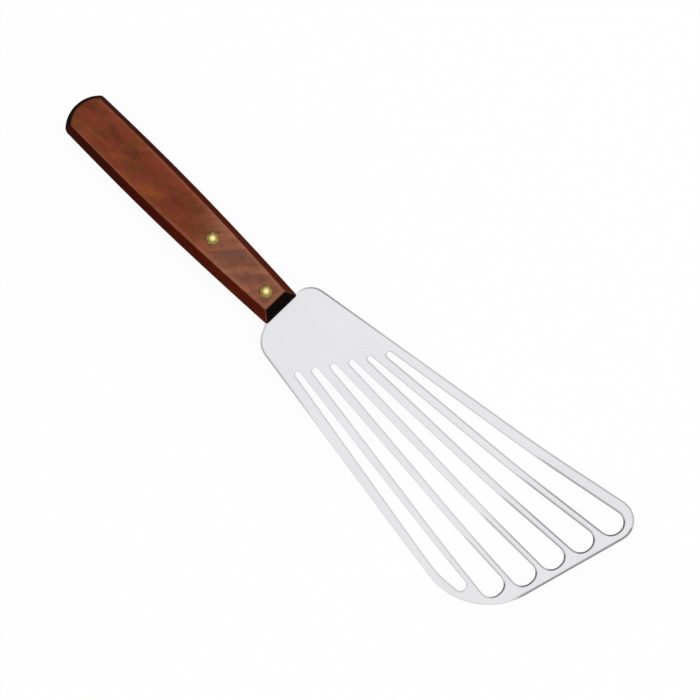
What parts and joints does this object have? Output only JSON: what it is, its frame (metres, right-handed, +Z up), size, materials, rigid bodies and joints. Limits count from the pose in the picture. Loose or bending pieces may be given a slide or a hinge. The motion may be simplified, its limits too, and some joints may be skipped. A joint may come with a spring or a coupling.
{
  "type": "slotted turner",
  "caption": "Slotted kitchen turner: thin flared steel blade with a fan of tapered slots, a slanted upturned tip, and a dark wooden handle fixed with domed brass rivets.",
  "frame": {"origin": "middle of the flat on the underside of the handle, at the handle's mid-length", "axes": "+X along the handle from its butt to the blade's tip, +Y to the blade's longer side, +Z up out of the handle's top flat"},
  "size_m": [0.2888, 0.0776, 0.014],
  "materials": {
    "blade_steel": "satin ground stainless steel, deburred edges",
    "handle_wood": "dark reddish hardwood, satin sealed, darker end grain",
    "rivet_brass": "polished domed heads"
  },
  "bodies": {
    "root": {"blade": "blade_steel", "handle": "handle_wood", "front_rivet_post": "rivet_brass", "front_rivet_socket": "rivet_brass", "rear_rivet_post": "rivet_brass", "rear_rivet_socket": "rivet_brass"}
  },
  "joints": []
}
